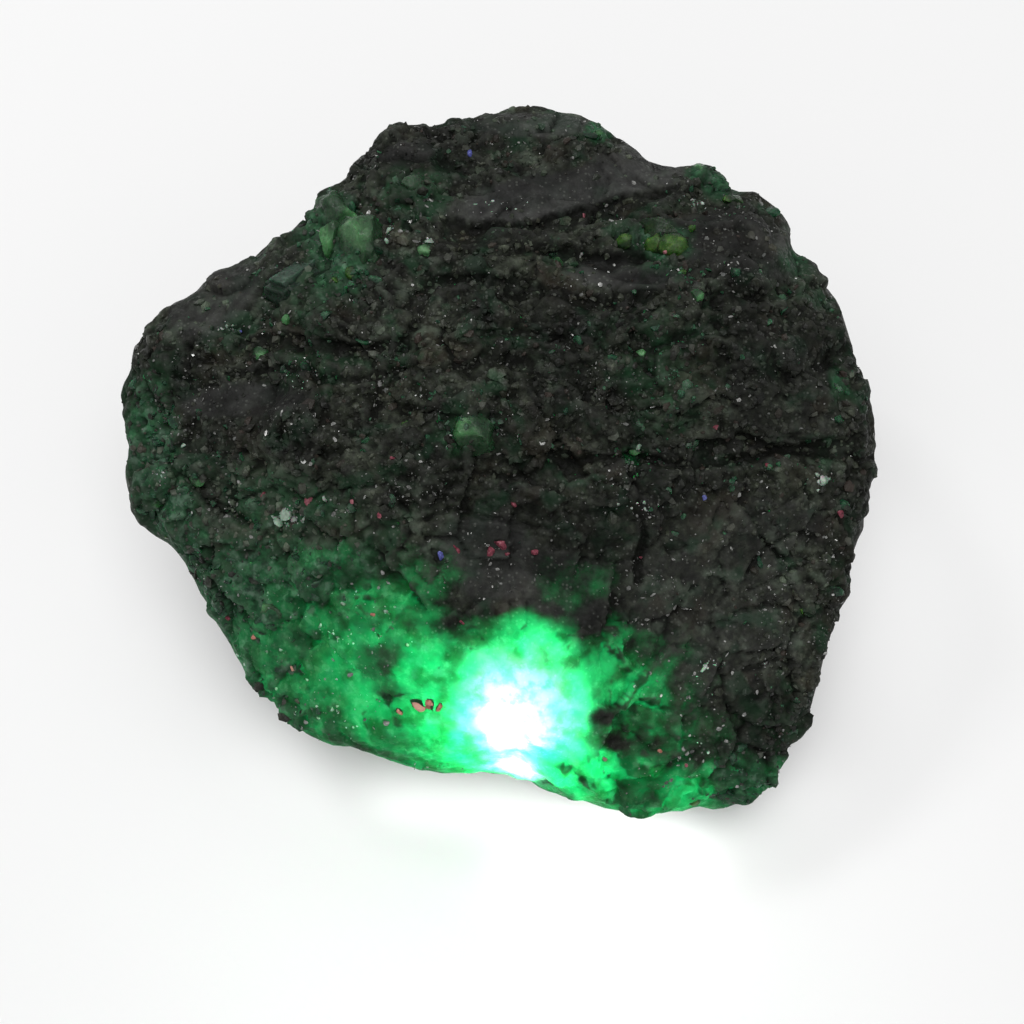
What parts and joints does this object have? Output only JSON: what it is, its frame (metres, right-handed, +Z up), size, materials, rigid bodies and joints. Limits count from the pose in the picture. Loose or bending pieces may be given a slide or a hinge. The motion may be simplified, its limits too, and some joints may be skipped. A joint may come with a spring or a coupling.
{
  "type": "rough emerald stone",
  "caption": "Broken lump of dark mica schist with emerald grown through it, lying on a flat broken base.",
  "frame": {"origin": "on the ground, at the centre of the bounding box's footprint", "axes": "+X to the right across the broad face, +Y away from the side the broad face looks to, +Z up, square to the flat broken base"},
  "size_m": [0.07, 0.068, 0.0391],
  "materials": {
    "schist": "rough, crumbly, with fine mica glitter",
    "emerald": "translucent green grains, broken faces",
    "mica": "silvery flakes, pearly",
    "pink_grains": "dull pink to red crumbs",
    "blue_grains": "dull blue crumbs"
  },
  "bodies": {
    "root": {"stone": "schist"}
  },
  "joints": []
}
